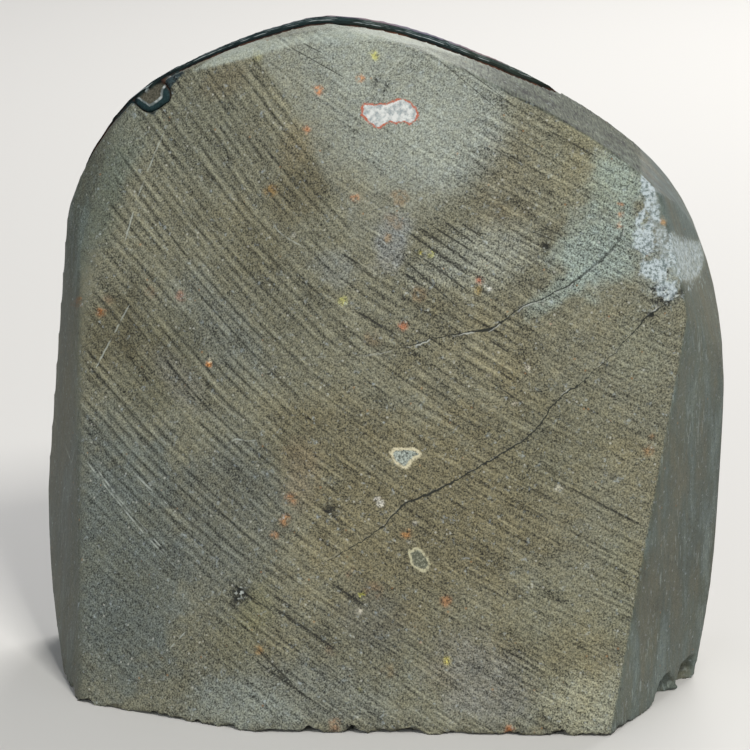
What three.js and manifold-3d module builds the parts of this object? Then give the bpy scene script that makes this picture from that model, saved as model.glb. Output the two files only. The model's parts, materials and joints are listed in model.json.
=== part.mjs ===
// A raw amethyst geode that stands on its sawn foot: an arch of basalt whose hollow is lined with a
// thin rind of agate and a crust of amethyst crystals.
// Millimetres, +Z up. The hollow opens towards +Y, and the sawn back faces -Y.
import * as THREE from 'three';
import { mergeVertices } from 'three/addons/utils/BufferGeometryUtils.js';
import Module from 'manifold-3d';

const wasm = await Module();
wasm.setup();

// The arch, seen from behind: its outline in the plane of the ground front, from the left end of
// the foot over the crown to the right end of the foot, as [x, z].
const ARCH = [
  [-60, 0], [-63.4, 13], [-64.6, 30], [-63.8, 52], [-61.8, 72], [-57.6, 89.3], [-47.6, 104.6],
  [-33, 113.6], [-15.9, 119.7], [-6, 120.2], [6.5, 117.6], [25.2, 110.1], [42, 100.2],
  [53.6, 89.3], [60, 76], [62.4, 60], [62.2, 40], [61, 18], [57.8, 0],
];
const ARCH_STEPS = 3;       // straight steps for each point of the outline
const FRONT_Y = 40;         // the ground front
const BLOCK_DEPTH = 64;     // front to back before the saw cuts

// The flat faces that the saw and the grinding wheel left. yaw turns a face about Z from facing -Y,
// lean tips it back, and at is a point on it.
const CUTS = {
  centreBack: { at: [10, -18.5, 0], yaw: -2, lean: 15.5 },
  leftBack: { at: [-25.7, -16.4, 1], yaw: -26.6, lean: 18.7 },
  topBack: { at: [-6.4, 5.9, 85.5], yaw: -13.9, lean: 26.6 },
  leftSide: { at: [-57, 18.5, 52.2], yaw: -75.1, lean: 5 },
  leftShoulder: { at: [-54, 33, 92.5], yaw: -55, lean: 20 },
  rightSide: { at: [40.6, -19.1, 1.6], yaw: 61.3, lean: -2.2 },
  rightShoulder: { at: [48.7, 8, 97.5], yaw: 75.4, lean: 17.2 },
  crown: { at: [-4, 24.5, 119.9], yaw: -8, lean: 60 },
};

// The hollow: half an ellipsoid that opens in the front, with slow waves in its wall.
const HOLLOW_CENTRE = [-2, FRONT_Y, 68];
const HOLLOW_RADII = [57, 25, 59.5];
const HOLLOW_SQUARENESS = 2.5;      // the power of its rim's curve, 2 for an ellipse
const HOLLOW_RIGHT_DROP = 0.5;      // how far the rim falls in over the right shoulder, as a share
const HOLLOW_SHALLOW_TOP = 0.27;    // the depth that is lost towards the crown, as a share
const HOLLOW_SHALLOW_LEFT = 0.3;    // the depth that is lost towards the left side, as a share
const RIND_THICKNESS = [6.5, 3.5, 9];   // of the agate, along X, Y and Z
const CRUST_THICKNESS = 2.2;        // the crystals' common base
const GAP = 0.3;                    // between neighbouring pieces
const WAVE_HEIGHT = 0.008;          // as a share of the hollow's radii
// The waves that are added up: how fast each runs along X, Y and Z, where it starts, its share.
const WAVES = [
  { along: [5, 0, 2], start: 0, share: 1 },
  { along: [0, -3, 4], start: 1, share: 1 },
  { along: [9, 7, 0], start: 0, share: 0.6 },
];
const HOLLOW_SEGMENTS = [34, 20];   // round and from pole to pole
const MERGE_DISTANCE = 1e-4;        // closer vertices than this are one

// A lobe of agate that the left shoulder cuts through, narrower towards its bottom.
const LOBE = { centre: [-43.4, 33.5, 106.4], radii: [4.6, 5.5, 3.6] };
const LOBE_TAPER = 0.75;            // the share of its width that it loses
const LOBE_GAP = 0.4;
const LOBE_SEGMENTS = [14, 9];

// The crystals: six-sided, with short prisms and pointed ends.
const CRYSTAL_COUNT = 80;
const CRYSTAL_RADIUS = [5.2, 8.4];
const CRYSTAL_HEIGHT = [8, 13.5];
const CRYSTAL_ROOT = 5;             // the length that stands in the crust
const TIP_FACE_ANGLE = THREE.MathUtils.degToRad(51.8);   // between an end face and the base
const CRYSTAL_SHAPES = 5;
const CRYSTAL_SIZE = [0.55, 1.15];  // the smallest and the largest copy, as a share
const CRYSTAL_ROOM = 12;            // the hollow's depth that a full-sized crystal needs
const CRYSTAL_GROWTH = [0.75, 1];   // how much of its room a crystal fills
const END_FACE_DROP = 0.12;         // every second end face stands back, as a share of the radius
const END_FACE_SCATTER = 0.16;      // what differs from face to face, as a share of the radius
const CRYSTAL_TILT = 0.5;           // how far crystals tip sideways, as a slope
const CRYSTAL_TURN_OUT = [0.3, 0.6];    // how far they tip towards the opening, as a slope
const OUTERMOST_CRYSTAL = 0.985;    // how near the rim they reach, as a share of the way
const RIM_CROWDING = 0.46;          // 0.5 spreads them evenly, less crowds them at the rim
const GOLDEN_ANGLE = Math.PI * (3 - Math.sqrt(5));

// Chips along the foot's back edge, from its left end to its right end, as [x, y].
const FOOT_EDGE = [[-60.5, 12], [-55.6, -0.5], [-26.4, -15.9], [10, -18.9], [40.6, -18], [57, 10]];
const CHIP_COUNT = 22;
const CHIP_RADIUS = [1.6, 3.4];
const CHIP_LENGTH = [0.9, 1.9];     // along X, in radii
const CHIP_HEIGHT = [0.5, 0.95];    // along Z, in radii
const CHIP_SINK = 0.3;              // how far a chip's middle lies under the foot, in radii
// The larger break at the foot's right end, as a row of [x, y, z, radius].
const LEDGE_BREAKS = [[52, 1, 1, 4.6], [57.5, 9, 2, 5.2], [60.4, 17, 1, 4.4]];

// One repeatable number from 0 to 1 for each pair of an index and a purpose.
function scatter(index, purpose) {
  const value = Math.sin(index * 12.9898 + purpose * 78.233) * 43758.5453;
  return value - Math.floor(value);
}

function between([low, high], share) {
  return low + (high - low) * share;
}

function toSolid(geometry) {
  geometry.deleteAttribute('normal');
  geometry.deleteAttribute('uv');
  const merged = mergeVertices(geometry, MERGE_DISTANCE);
  return new wasm.Manifold(new wasm.Mesh({
    numProp: 3,
    vertProperties: new Float32Array(merged.attributes.position.array),
    triVerts: new Uint32Array(merged.index.array),
  }));
}

function toGeometry(solid) {
  const mesh = solid.getMesh();
  const geometry = new THREE.BufferGeometry();
  geometry.setAttribute('position', new THREE.BufferAttribute(mesh.vertProperties, 3));
  geometry.setIndex(new THREE.BufferAttribute(mesh.triVerts, 1));
  geometry.computeVertexNormals();
  return geometry;
}

// The largest of the closed surfaces that a solid is made of, without crumbs and sealed pores.
function largestBody(solid) {
  const bodies = solid.decompose();
  return bodies.reduce((best, body) => (body.volume() > best.volume() ? body : best));
}

function faceNormal({ yaw, lean }) {
  const turn = THREE.MathUtils.degToRad(yaw);
  const tip = THREE.MathUtils.degToRad(lean);
  return new THREE.Vector3(
    Math.sin(turn) * Math.cos(tip),
    -Math.cos(turn) * Math.cos(tip),
    Math.sin(tip),
  );
}

function cutOutside(solid, point, normal) {
  const inwards = normal.clone().negate();
  return solid.trimByPlane(inwards.toArray(), inwards.dot(point));
}

// The whole arch with its flat faces, before the hollow.
function makeBlock() {
  const shape = new THREE.Shape();
  shape.moveTo(...ARCH[0]);
  shape.splineThru(ARCH.slice(1).map(([x, z]) => new THREE.Vector2(x, z)));
  shape.closePath();
  const geometry = new THREE.ExtrudeGeometry(shape, {
    depth: BLOCK_DEPTH,
    bevelEnabled: false,
    curveSegments: ARCH_STEPS,
  });
  geometry.rotateX(Math.PI / 2);
  geometry.translate(0, FRONT_Y, 0);
  let block = toSolid(geometry);
  for (const cut of Object.values(CUTS)) {
    block = cutOutside(block, new THREE.Vector3(...cut.at), faceNormal(cut));
  }
  return block;
}

// A point of the hollow's wall in a direction, with its radii reduced by inset.
function hollowPoint(direction, inset) {
  const wave = WAVE_HEIGHT * WAVES.reduce((sum, { along, start, share }) => (
    sum + share * Math.sin(direction.dot(new THREE.Vector3(...along)) + start)
  ), 0);
  const power = HOLLOW_SQUARENESS;
  const rim = Math.hypot(direction.x, direction.z) || 1;
  const rimSum = Math.abs(direction.x / rim) ** power + Math.abs(direction.z / rim) ** power;
  const rightShoulder = Math.max(0, direction.x) * Math.max(0, direction.z);
  const rightDrop = HOLLOW_RIGHT_DROP * rightShoulder ** 1.5;
  const spread = rimSum ** (-1 / power) - rightDrop + wave;
  const depth = 1 + wave - HOLLOW_SHALLOW_TOP * direction.z
    + HOLLOW_SHALLOW_LEFT * Math.min(0, direction.x);
  return new THREE.Vector3(
    direction.x * (HOLLOW_RADII[0] * spread - inset[0]),
    direction.y * (HOLLOW_RADII[1] * depth - inset[1]),
    direction.z * (HOLLOW_RADII[2] * spread - inset[2]),
  );
}

// The hollow as a solid, with the wall moved inwards by inset along each axis.
function makeHollow(inset) {
  const geometry = new THREE.SphereGeometry(1, ...HOLLOW_SEGMENTS);
  geometry.rotateX(Math.PI / 2);
  const position = geometry.attributes.position;
  const direction = new THREE.Vector3();
  for (let index = 0; index < position.count; index += 1) {
    direction.fromBufferAttribute(position, index).normalize();
    position.setXYZ(index, ...hollowPoint(direction, inset));
  }
  geometry.translate(...HOLLOW_CENTRE);
  return toSolid(geometry);
}

function makeLobe(inset) {
  const geometry = new THREE.SphereGeometry(1, ...LOBE_SEGMENTS);
  const position = geometry.attributes.position;
  for (let index = 0; index < position.count; index += 1) {
    const width = 1 - LOBE_TAPER * Math.max(0, -position.getZ(index));
    position.setX(index, position.getX(index) * width);
    position.setY(index, position.getY(index) * width);
  }
  geometry.scale(...LOBE.radii.map((radius) => radius - inset));
  geometry.translate(...LOBE.centre);
  return toSolid(geometry);
}

// One broken-out chip: an uneven lump, to be taken from an edge.
function makeChip(x, y, z, radius, index) {
  const geometry = new THREE.IcosahedronGeometry(radius, 0);
  geometry.rotateX(Math.PI * scatter(index, 1));
  geometry.rotateZ(Math.PI * scatter(index, 2));
  const length = between(CHIP_LENGTH, scatter(index, 3));
  const height = between(CHIP_HEIGHT, scatter(index, 4));
  geometry.scale(length, 1, height);
  geometry.translate(x, y, z);
  return toSolid(geometry);
}

function makeFootChips() {
  const edge = new THREE.CurvePath();
  for (let index = 1; index < FOOT_EDGE.length; index += 1) {
    const [from, to] = [FOOT_EDGE[index - 1], FOOT_EDGE[index]];
    edge.add(new THREE.LineCurve(new THREE.Vector2(...from), new THREE.Vector2(...to)));
  }
  const chips = [];
  for (let index = 0; index < CHIP_COUNT; index += 1) {
    const place = edge.getPointAt((index + scatter(index, 5)) / CHIP_COUNT);
    const radius = between(CHIP_RADIUS, scatter(index, 6) ** 2);
    chips.push(makeChip(place.x, place.y, -CHIP_SINK * radius, radius, index));
  }
  LEDGE_BREAKS.forEach(([x, y, z, radius], index) => {
    chips.push(makeChip(x, y, z, radius, CHIP_COUNT + index));
  });
  return chips;
}

// A crystal that stands on z = 0 with its root below: a six-sided prism with six end faces.
function makeCrystal(shape, radius, height) {
  const prism = new THREE.CylinderGeometry(radius, radius, height + CRYSTAL_ROOT, 6);
  prism.rotateX(Math.PI / 2);
  prism.translate(0, 0, (height - CRYSTAL_ROOT) / 2);
  let crystal = toSolid(prism);
  const tip = new THREE.Vector3(0, 0, height);
  for (let face = 0; face < 6; face += 1) {
    const around = THREE.MathUtils.degToRad(30 + 60 * face);
    const normal = new THREE.Vector3(
      Math.sin(TIP_FACE_ANGLE) * Math.cos(around),
      Math.sin(TIP_FACE_ANGLE) * Math.sin(around),
      Math.cos(TIP_FACE_ANGLE),
    );
    const rise = END_FACE_DROP * (face % 2) + END_FACE_SCATTER * scatter(shape * 6 + face, 7);
    crystal = cutOutside(crystal, tip.clone().addScaledVector(normal, rise * radius), normal);
  }
  return crystal;
}

function makeCrystalShapes() {
  const shapes = [];
  for (let shape = 0; shape < CRYSTAL_SHAPES; shape += 1) {
    const share = shape / (CRYSTAL_SHAPES - 1);
    shapes.push(makeCrystal(shape, between(CRYSTAL_RADIUS, share), between(CRYSTAL_HEIGHT, share)));
  }
  return shapes;
}

// Crystals over the whole wall of the hollow, each along the wall's inward normal, a little tilted.
function growCrystals(inset) {
  const shapes = makeCrystalShapes();
  const crystals = [];
  const centre = new THREE.Vector3(...HOLLOW_CENTRE);
  const up = new THREE.Vector3(0, 0, 1);
  for (let index = 0; index < CRYSTAL_COUNT; index += 1) {
    const across = OUTERMOST_CRYSTAL * ((index + 0.5) / CRYSTAL_COUNT) ** RIM_CROWDING;
    const around = index * GOLDEN_ANGLE;
    const direction = new THREE.Vector3(
      across * Math.cos(around),
      -Math.sqrt(1 - across * across),
      across * Math.sin(around),
    );
    const point = hollowPoint(direction, inset);
    const growth = new THREE.Vector3(
      -point.x / HOLLOW_RADII[0] ** 2,
      -point.y / HOLLOW_RADII[1] ** 2,
      -point.z / HOLLOW_RADII[2] ** 2,
    ).normalize();
    growth.x += CRYSTAL_TILT * (scatter(index, 8) - 0.5);
    growth.y += between(CRYSTAL_TURN_OUT, scatter(index, 9));
    growth.z += CRYSTAL_TILT * (scatter(index, 10) - 0.5);
    const turn = new THREE.Quaternion().setFromUnitVectors(up, growth.normalize());
    turn.multiply(new THREE.Quaternion().setFromAxisAngle(up, Math.PI * scatter(index, 11)));
    const room = Math.min(1, -point.y / CRYSTAL_ROOM);
    const share = room * between(CRYSTAL_GROWTH, scatter(index, 12));
    const size = new THREE.Vector3().setScalar(between(CRYSTAL_SIZE, share));
    const place = new THREE.Matrix4().compose(point.add(centre), turn, size);
    const shape = Math.floor(CRYSTAL_SHAPES * scatter(index, 13));
    crystals.push(shapes[shape].transform(place.elements));
  }
  return crystals;
}

function insetBy(distances, extra) {
  return distances.map((distance) => distance + extra);
}

const stone = {
  basalt: new THREE.MeshStandardMaterial({ color: 0x74766a, roughness: 0.85, metalness: 0 }),
  agate: new THREE.MeshStandardMaterial({ color: 0x4c5f5e, roughness: 0.4, metalness: 0 }),
  amethyst: new THREE.MeshStandardMaterial({ color: 0x7b4fb0, roughness: 0.1, metalness: 0 }),
};

function makeMesh(name, solid, material) {
  const mesh = new THREE.Mesh(toGeometry(solid), material);
  mesh.name = name;
  return mesh;
}

function makeSpecimen() {
  const block = makeBlock();
  const none = [0, 0, 0];
  const hollow = makeHollow(none).add(makeLobe(0));
  const rindOutside = makeHollow(insetBy(none, GAP)).add(makeLobe(LOBE_GAP));
  const rindInside = makeHollow(RIND_THICKNESS);
  const crustOutside = makeHollow(insetBy(RIND_THICKNESS, GAP));
  const crustInside = makeHollow(insetBy(RIND_THICKNESS, GAP + CRUST_THICKNESS));

  const basalt = wasm.Manifold.difference([block, hollow, ...makeFootChips()]);
  const rind = block.intersect(rindOutside).subtract(rindInside);
  const crystals = wasm.Manifold.union([
    crustOutside.subtract(crustInside),
    ...growCrystals(insetBy(RIND_THICKNESS, GAP + CRUST_THICKNESS)),
  ]).intersect(crustOutside).intersect(block);

  const group = new THREE.Group();
  group.add(makeMesh('basalt_matrix', largestBody(basalt), stone.basalt));
  group.add(makeMesh('agate_rind', largestBody(rind), stone.agate));
  group.add(makeMesh('amethyst_crystals', largestBody(crystals), stone.amethyst));
  return group;
}

// The origin is under the middle of the whole piece, on the surface that the foot stands on.
const specimen = makeSpecimen();
const middle = new THREE.Box3().setFromObject(specimen).getCenter(new THREE.Vector3());
specimen.position.set(-middle.x, -middle.y, 0);

export default specimen;
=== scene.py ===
"""Looks of the raw amethyst geode: a sawn basalt arch, an agate rind and a crust of crystals."""

import json
import math

import bpy
import numpy as np
from mathutils.bvhtree import BVHTree
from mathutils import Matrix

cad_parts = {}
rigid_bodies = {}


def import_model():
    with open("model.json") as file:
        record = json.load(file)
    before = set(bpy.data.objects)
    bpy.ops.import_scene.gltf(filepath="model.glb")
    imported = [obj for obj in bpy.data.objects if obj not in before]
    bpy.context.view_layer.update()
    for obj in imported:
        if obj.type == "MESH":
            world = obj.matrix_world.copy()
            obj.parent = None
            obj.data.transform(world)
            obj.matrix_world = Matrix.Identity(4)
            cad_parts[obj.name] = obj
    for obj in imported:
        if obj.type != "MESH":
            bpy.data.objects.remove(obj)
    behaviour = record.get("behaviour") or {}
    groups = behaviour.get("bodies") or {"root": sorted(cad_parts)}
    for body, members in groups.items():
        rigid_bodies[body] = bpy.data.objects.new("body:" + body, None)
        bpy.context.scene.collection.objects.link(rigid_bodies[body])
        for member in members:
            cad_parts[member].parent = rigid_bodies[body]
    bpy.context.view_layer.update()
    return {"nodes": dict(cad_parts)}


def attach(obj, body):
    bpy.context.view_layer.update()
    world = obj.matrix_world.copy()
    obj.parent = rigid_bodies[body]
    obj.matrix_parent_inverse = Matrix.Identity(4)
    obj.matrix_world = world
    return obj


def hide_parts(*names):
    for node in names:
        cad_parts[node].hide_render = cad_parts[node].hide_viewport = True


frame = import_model()

MM = 0.001
PICTURE = 750

CAMERA_PLACE = (-0.00088, -0.68637, 0.24317)
CAMERA_TILT = math.radians(75)
CAMERA_LENS = 186.67
CAMERA_SENSOR = 36.0

# Grain of the remeshed pieces, and the triangles that the basalt keeps where the picture doesn't look.
BASALT_VOXEL = 0.54 * MM
AGATE_VOXEL = 0.55 * MM
SPARE_TRIANGLES = 38000

# Sawn faces of the back as in the solid: a point in millimetres, then yaw and lean in degrees.
# SHIFT is how far the solid was moved to stand on the middle.
SHIFT = (1.021, -10.221, 0.0)
SAWN_FACES = [
    ((10, -18.5, 0), -2, 15.5),
    ((-25.7, -16.4, 1), -26.6, 18.7),
    ((-6.4, 5.9, 85.5), -13.9, 26.6),
    ((-57, 18.5, 52.2), -75.1, 5),
    ((-54, 33, 92.5), -55, 20),
    ((40.6, -19.1, 1.6), 61.3, -2.2),
    ((48.7, 8, 97.5), 75.4, 17.2),
]
ARRIS_SOFTNESS = 0.55

# All that lies on the back is placed by columns and rows of the 750 by 750 picture.
# Saw marks: arcs round one centre on the left face, slightly curved slanting lines on the others.
LEFT_ARC_CENTRE = (1316, -713)
LEFT_ARC_RADIUS = 1500
LEFT_RIB = 8.7
CENTRE_COLUMN = 300
CENTRE_SLOPE = 0.727
CENTRE_CURVE = 0.00036
CENTRE_SHORTENING = 0.84
CENTRE_RIB = 9.6
CENTRE_FINE_RIB = 5.5
STREAK_LENGTH = 40

# The ridge between left and middle face as columns and rows, the three edges as rows and columns.
RIDGE = [(55, 258), (120, 300), (215, 345), (240, 350), (350, 310), (440, 290), (560, 265), (726, 243)]
LEFT_EDGE = [(90, 150), (120, 122), (165, 112), (200, 106), (250, 96), (300, 84), (350, 78), (690, 76)]
RIGHT_EDGE = [
    (160, 640), (240, 655), (310, 690), (400, 688), (480, 672), (540, 650), (600, 640), (700, 622),
    (728, 612),
]
TOP_FACE_RIGHT = [(30, 560), (60, 530), (100, 508), (150, 485), (200, 455), (250, 415), (280, 400)]
# Outline of the agate strip along the crown.
TOP_BAND = [(190, 72), (236, 44), (325, 31), (360, 28), (400, 31), (485, 62), (423, 46), (378, 39), (300, 43),
            (254, 56)]
# Chalky blobs: column, row, half width, half height, turn in degrees, strength.
CHALK = [
    (650, 173, 7, 9, 20, 0.95), (649, 188, 7, 12, -10, 0.95), (641, 216, 4, 9, 25, 0.8),
    (647, 243, 14, 19, 0, 0.6), (655, 267, 16, 15, 0, 0.75), (666, 291, 12, 9, 20, 0.6),
    (690, 287, 4, 11, 35, 0.4), (664, 246, 12, 22, -20, 0.4), (682, 262, 20, 34, -15, 0.45),
    (652, 205, 8, 30, -5, 0.5),
]
# Outlines of the pale flat in the chalky crust, of the agate pocket on the left shoulder and of its core.
PLATEAU = [
    (672, 233), (684, 240), (700, 240), (706, 252), (705, 266), (698, 277), (688, 281), (677, 275),
    (668, 258),
]
POCKET = [
    (120, 103), (131, 103), (137, 103.5), (141, 107), (146, 112), (152, 114), (157, 111), (161, 104),
    (166, 99), (169, 94), (171, 87), (176, 81), (184, 72), (150, 66),
]
POCKET_LINE = [
    (118, 96), (136, 97), (140.6, 100), (149, 106), (156, 103), (162.8, 96.5), (163.6, 89),
    (171, 77), (150, 66),
]
# Single saw cuts: both ends and the depth in millimetres.
DEEP_CUTS = [
    ((442, 220), (478, 246), 0.16), ((415, 224), (484, 273), 0.20), ((432, 226), (475, 253), 0.15),
    ((404, 229), (472, 278), 0.20), ((406, 246), (475, 296), 0.20), ((401, 257), (462, 311), 0.15),
    ((403, 272), (423, 287), 0.16), ((461, 223), (482, 237), 0.14), ((351, 308), (401, 338), 0.24),
    ((487, 379), (528, 407), 0.14), ((340, 253), (363, 266), 0.14), ((544, 128), (603, 160), 0.22),
    ((541, 226), (563, 236), 0.12), ((529, 230), (560, 243), 0.12), ((488, 339), (511, 354), 0.12),
    ((271, 605), (342, 654), 0.30), ((271, 594), (301, 612), 0.14), ((328, 581), (368, 608), 0.22),
    ((255, 648), (296, 687), 0.18), ((252, 659), (338, 718), 0.16), ((565, 485), (650, 530), 0.16),
    ((285, 44), (352, 82), 0.05), ((303, 43), (324, 54), 0.07), ((433, 55), (504, 114), 0.03),
    ((455, 62), (512, 104), 0.03), ((240, 590), (275, 613), 0.12),
]
# Both cracks, from right to left.
CRACK_UPPER = [(622, 233), (613, 249), (596, 264), (578, 279), (566, 287), (552, 293), (541, 300), (524, 305),
               (513, 313), (507, 319), (493, 328), (485, 331), (475, 331), (462, 333), (453, 335), (441, 337),
               (432, 338), (423, 342), (412, 345), (404, 346), (394, 349), (384, 351), (363, 355), (340, 356),
               (290, 356), (225, 352)]
CRACK_LOWER = [(666, 304), (650, 315), (642, 322), (633, 333), (624, 342), (615, 353), (605, 361), (592, 373),
               (580, 384), (570, 390), (559, 399), (550, 408), (541, 424), (525, 440), (500, 455), (475, 469),
               (450, 484), (443, 487), (431, 493), (424, 496), (418, 498), (412, 501), (405, 503), (401, 507),
               (398, 511), (393, 515), (384, 526), (377, 530), (370, 536), (350, 548), (330, 560), (300, 574),
               (270, 590)]
# Width in picture pixels along each crack, from its first point to its last.
CRACK_UPPER_WIDTH = [(0, 1.9), (0.14, 1.9), (0.19, 0.8), (0.33, 0.7), (0.36, 1.5), (0.4, 2.2), (0.425, 1.2),
                     (0.44, 0.8), (0.55, 0.7), (0.6, 0.2), (0.8, 0.2), (1, 0.0)]
CRACK_LOWER_WIDTH = [(0, 0.4), (0.04, 1.7), (0.07, 0.8), (0.15, 0.5), (0.22, 0.5), (0.26, 0.9), (0.45, 1.0),
                     (0.56, 1.1), (0.62, 1.9), (0.65, 1.4), (0.72, 1.0), (0.8, 0.7), (0.88, 0.3), (1, 0.0)]
CRACKS = (
    ("crack_upper", CRACK_UPPER, CRACK_UPPER_WIDTH),
    ("crack_lower", CRACK_LOWER, CRACK_LOWER_WIDTH),
)
# Thin pale veins and scratches.
VEINS = [
    [(165, 130), (157, 148), (150, 165), (144, 181), (138, 196), (131, 220), (124, 245)],
    [(130, 303), (122, 318), (114, 334), (104, 352), (95, 370)],
    [(218, 441), (228, 443), (236, 439), (247, 441), (258, 440)],
    [(170, 648), (177, 641), (185, 632)],
    [(272, 220), (277, 230), (284, 236), (296, 243), (306, 248)],
    [(385, 75), (398, 62), (412, 49)],
    [(85, 459), (110, 492), (140, 529), (178, 570)],
    [(93, 464), (120, 500), (172, 560)],
    [(129, 468), (147, 486), (168, 505)],
]
# Outlines of the filled amygdales.
BIG_AMYGDALE = [
    (362, 107), (364, 104), (369, 104), (376, 104), (387, 104), (392, 102), (397, 99.5), (403, 99),
    (409, 101), (414, 105), (417, 111), (417, 117), (413, 122), (409, 124), (404, 122), (400, 123),
    (396, 123), (391, 122), (387, 123), (383, 126), (379.5, 128), (376, 127), (370, 124),
    (365.5, 119), (362, 115),
]
TRIANGLE_AMYGDALE = [(389, 450.5), (395, 449), (408, 448), (415, 449.5), (421, 453), (420, 457), (414, 458),
                     (410, 462.5), (407, 469), (401.5, 467), (396, 462.5), (393, 458)]
RING_AMYGDALE = [(409, 550.5), (417, 548.5), (422.5, 551.5), (429, 560), (430.5, 567), (425.5, 571.5),
                 (420, 570.5), (413, 565), (410, 560)]

# Soft tone patches on the back: column, row, half width, half height, turn in degrees, colour, strength.
BASE_TONE = (113, 112, 95)
TONE_PATCHES = [
    (120, 560, 80, 170, 0, (94, 101, 97), 0.85),
    (215, 330, 80, 40, 50, (108, 112, 104), 0.6),
    (160, 360, 46, 70, 30, (96, 94, 74), 0.5),
    (180, 380, 50, 18, 48, (114, 114, 108), 0.4),
    (335, 268, 28, 22, 30, (122, 125, 118), 0.6),
    (110, 330, 32, 60, 20, (92, 88, 68), 0.7),
    (110, 150, 40, 80, 25, (104, 110, 100), 0.6),
    (200, 130, 60, 60, 45, (108, 110, 96), 0.5),
    (300, 190, 28, 60, 30, (98, 92, 70), 0.6),
    (255, 250, 40, 30, 45, (104, 100, 78), 0.4),
    (225, 80, 30, 18, -25, (108, 102, 82), 0.6),
    (430, 520, 170, 120, -20, (113, 106, 80), 0.7),
    (480, 350, 110, 60, -20, (118, 113, 90), 0.4),
    (335, 440, 60, 60, 0, (110, 104, 80), 0.5),
    (560, 440, 80, 60, -30, (108, 106, 86), 0.5),
    (520, 640, 90, 70, 0, (116, 114, 96), 0.4),
    (375, 620, 42, 38, 0, (100, 101, 94), 0.5),
    (392, 240, 20, 40, 20, (126, 130, 130), 0.7),
    (455, 130, 60, 70, 0, (141, 148, 142), 0.7),
    (590, 135, 45, 35, 30, (122, 120, 98), 0.8),
    (545, 180, 60, 40, 20, (122, 122, 104), 0.6),
    (505, 190, 40, 70, 10, (112, 106, 86), 0.4),
    (600, 250, 60, 45, -35, (140, 153, 146), 0.8),
    (560, 290, 50, 14, -38, (136, 148, 140), 0.6),
    (625, 175, 40, 25, 50, (130, 142, 134), 0.7),
    (640, 350, 30, 50, 0, (118, 120, 104), 0.5),
    (630, 600, 30, 90, -10, (112, 114, 98), 0.5),
    (300, 690, 120, 40, 10, (116, 120, 112), 0.6),
    (240, 640, 30, 50, 20, (112, 110, 88), 0.5),
    (370, 48, 18, 12, 0, (118, 122, 92), 0.8),
    (500, 690, 140, 40, 0, (118, 120, 106), 0.5),
    (590, 705, 60, 40, 0, (142, 145, 130), 0.8),
    (560, 620, 60, 60, 0, (118, 118, 98), 0.4),
    (240, 705, 70, 30, 10, (126, 132, 124), 0.7),
    (668, 215, 16, 32, -25, (104, 114, 108), 0.9),
    (664, 262, 26, 42, 0, (132, 140, 134), 0.75),
    (100, 200, 26, 90, 20, (92, 98, 86), 0.8),
    (225, 520, 70, 110, 25, (101, 105, 98), 0.65),
    (480, 258, 75, 36, -20, (139, 142, 130), 0.7),
    (290, 85, 26, 34, 30, (122, 120, 100), 0.7),
    (300, 140, 22, 34, 30, (116, 108, 84), 0.6),
    (255, 610, 20, 34, 20, (114, 112, 82), 0.4),
    (300, 470, 24, 40, 10, (122, 110, 88), 0.5),
    (480, 680, 60, 50, 20, (124, 124, 120), 0.5),
    (610, 190, 30, 26, 30, (134, 146, 136), 0.6),
]
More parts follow.
